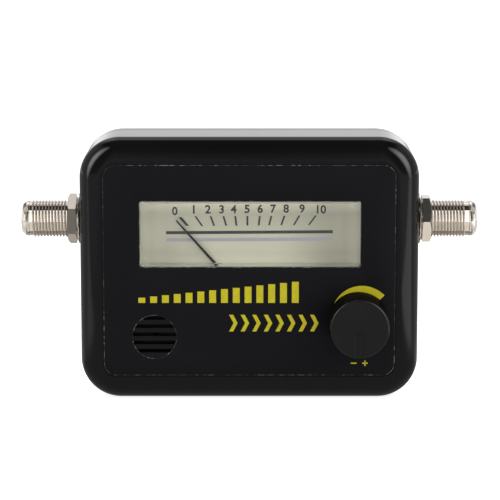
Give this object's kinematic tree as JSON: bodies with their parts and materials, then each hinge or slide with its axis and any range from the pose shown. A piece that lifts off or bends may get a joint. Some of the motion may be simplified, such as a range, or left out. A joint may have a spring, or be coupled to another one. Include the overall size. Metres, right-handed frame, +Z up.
{
  "type": "satellite signal meter",
  "caption": "Handheld coaxial signal meter: a black moulded case with a lit needle meter, a slotted sounder, a gain knob and a threaded socket on each side.",
  "frame": {"origin": "centre of the bottom face, at half the depth of the case", "axes": "+X right as seen from the front, through both sockets; +Y from the front face to the rear; +Z up"},
  "size_m": [0.114, 0.0366, 0.0654],
  "materials": {
    "case_black": "gloss moulded black",
    "label_ink": "satin printed film",
    "knob_black": "matt moulded black",
    "clear_cover": "clear moulded",
    "dial_cream": "translucent printed plate",
    "needle_black": "matt",
    "nickel": "nickel plated",
    "plated_steel": "zinc plated",
    "brass": "plain",
    "copper": "enamelled winding",
    "iron": "plain",
    "white_insulator": "natural",
    "dark_moulding": "matt",
    "jewel": "polished",
    "wafer": "laminate",
    "lamp": "moulded lens",
    "board_green": "solder mask",
    "capacitor_sleeve": "sleeve",
    "resistor_tan": "lacquered"
  },
  "bodies": {
    "root": {"front_case": "case_black", "rear_cover": "case_black", "front_overlay": "label_ink", "meter_cover": "clear_cover", "dial_plate": "dial_cream", "connector_body_left": "nickel", "connector_body_right": "nickel", "connector_nut_left": "nickel", "connector_nut_right": "nickel", "connector_washer_left": "plated_steel", "connector_washer_right": "plated_steel", "case_screw_1": "plated_steel", "case_screw_2": "plated_steel", "case_screw_3": "plated_steel", "case_screw_4": "plated_steel", "board_screw_1": "plated_steel", "board_screw_2": "plated_steel", "pot_frame": "plated_steel", "pot_shell": "plated_steel", "connector_contact_left": "brass", "connector_contact_right": "brass", "bridge": "brass", "hairspring": "brass", "core_spacer_upper": "brass", "core_spacer_lower": "brass", "buzzer_disc": "brass", "bridge_screw_left": "brass", "dial_screw_left": "brass", "meter_terminal_left": "brass", "bridge_screw_right": "brass", "dial_screw_right": "brass", "meter_terminal_right": "brass", "choke": "copper", "pole_ring": "iron", "core_magnet": "iron", "connector_insulator_left": "white_insulator", "connector_insulator_right": "white_insulator", "meter_base": "dark_moulding", "buzzer_shell": "dark_moulding", "integrated_circuit": "dark_moulding", "transistor": "dark_moulding", "jewel_front": "jewel", "jewel_rear": "jewel", "pot_track": "wafer", "meter_lamp_left": "lamp", "meter_lamp_right": "lamp", "circuit_board": "board_green", "capacitor_1": "capacitor_sleeve", "capacitor_2": "capacitor_sleeve", "resistor_1": "resistor_tan"},
    "knob": {"gain_knob": "knob_black", "pot_shaft": "white_insulator", "pot_wiper": "brass"},
    "needle": {"needle": "needle_black", "needle_weight": "brass", "pivot_front": "plated_steel", "pivot_rear": "plated_steel", "moving_coil": "copper"}
  },
  "joints": [
    {"name": "knob_turn", "type": "hinge", "parent": "root", "child": "knob", "pos_m": [0.0269, -0.0184, 0.0201], "axis": [0, 1, 0], "range_deg": [0, 300]},
    {"name": "needle_swing", "type": "hinge", "parent": "root", "child": "needle", "pos_m": [-0.0003, -0.00875, 0.0248], "axis": [0, 1, 0], "range_deg": [0, 84], "stiffness_Nm_per_rad": 0.000005}
  ]
}
